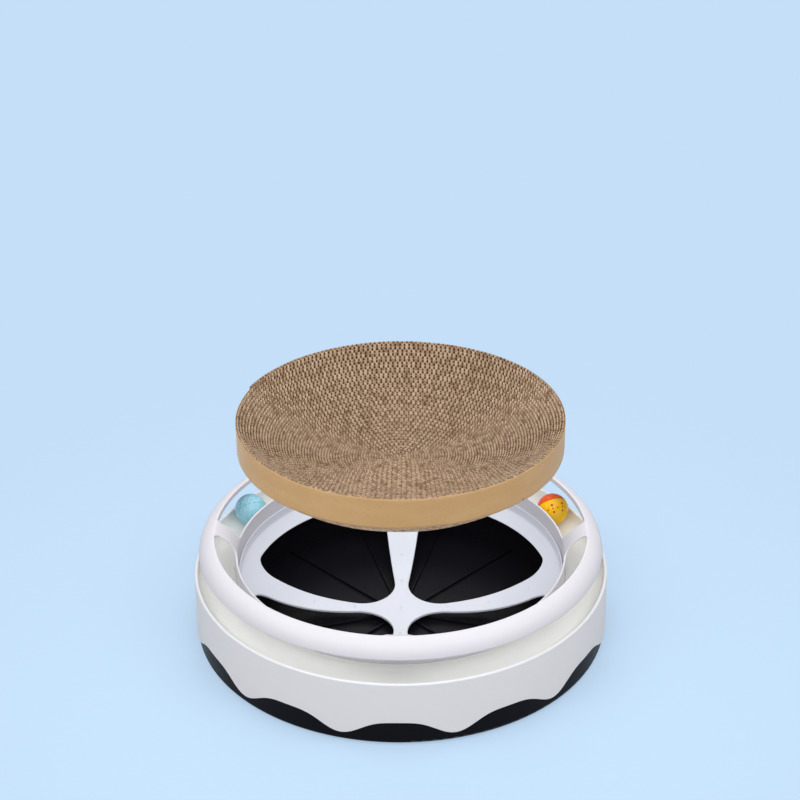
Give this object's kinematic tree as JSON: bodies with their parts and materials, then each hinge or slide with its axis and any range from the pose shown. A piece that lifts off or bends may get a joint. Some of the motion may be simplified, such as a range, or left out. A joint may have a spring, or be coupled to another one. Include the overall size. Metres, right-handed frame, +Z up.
{
  "type": "cat scratcher turntable",
  "caption": "Round cat scratcher: a bowl of wound corrugated card held above a spinning spider tray, in a scalloped base with a hooded ball track round its edge.",
  "frame": {"origin": "centre of the base, on the surface that it stands on", "axes": "+Z up along the turntable's axis, -Y towards the front of the picture, +X to its right"},
  "size_m": [0.5002, 0.5002, 0.2863],
  "materials": {
    "dark_plastic": "gloss",
    "wall_plastic": "satin",
    "hood_plastic": "gloss",
    "tray_plastic": "satin",
    "rubber": "matte",
    "steel": "zinc plated",
    "bush_plastic": "moulded",
    "corrugated_card": "cut edges",
    "kraft_card": "matte",
    "blue_plastic": "translucent",
    "yellow_plastic": "gloss",
    "orange_plastic": "gloss",
    "bell_metal": "plated"
  },
  "bodies": {
    "base": {"base_tray": "dark_plastic", "track_body": "wall_plastic", "track_hood": "hood_plastic", "rubber_feet": "rubber", "base_screws": "steel", "pivot_bush": "bush_plastic", "thrust_washer": "steel"},
    "turntable": {"turntable_tray": "tray_plastic", "retaining_washer": "steel", "retaining_screw": "steel"},
    "core": {"core_winding": "corrugated_card", "core_wrap": "kraft_card"},
    "ball_1": {"ball_1_top": "blue_plastic", "ball_1_bottom": "blue_plastic", "ball_1_bell": "bell_metal"},
    "ball_2": {"ball_2_cap": "orange_plastic", "ball_2_cup": "yellow_plastic", "ball_2_bell": "bell_metal"}
  },
  "joints": [
    {"name": "turntable_spin", "type": "hinge", "parent": "base", "child": "turntable", "pos_m": [0, 0, 0.01], "axis": [0, 0, 1], "continuous": true},
    {"name": "core_lift", "type": "slide", "parent": "turntable", "child": "core", "axis": [0, 0, 1], "range_m": [-0.1745, 0]},
    {"name": "ball_1_roll", "type": "hinge", "parent": "base", "child": "ball_1", "pos_m": [0, 0, 0.0878], "axis": [0, 0, 1], "range_deg": [-107, 229]},
    {"name": "ball_2_roll", "type": "hinge", "parent": "base", "child": "ball_2", "pos_m": [0, 0, 0.0878], "axis": [0, 0, 1], "range_deg": [-229, 107]}
  ]
}
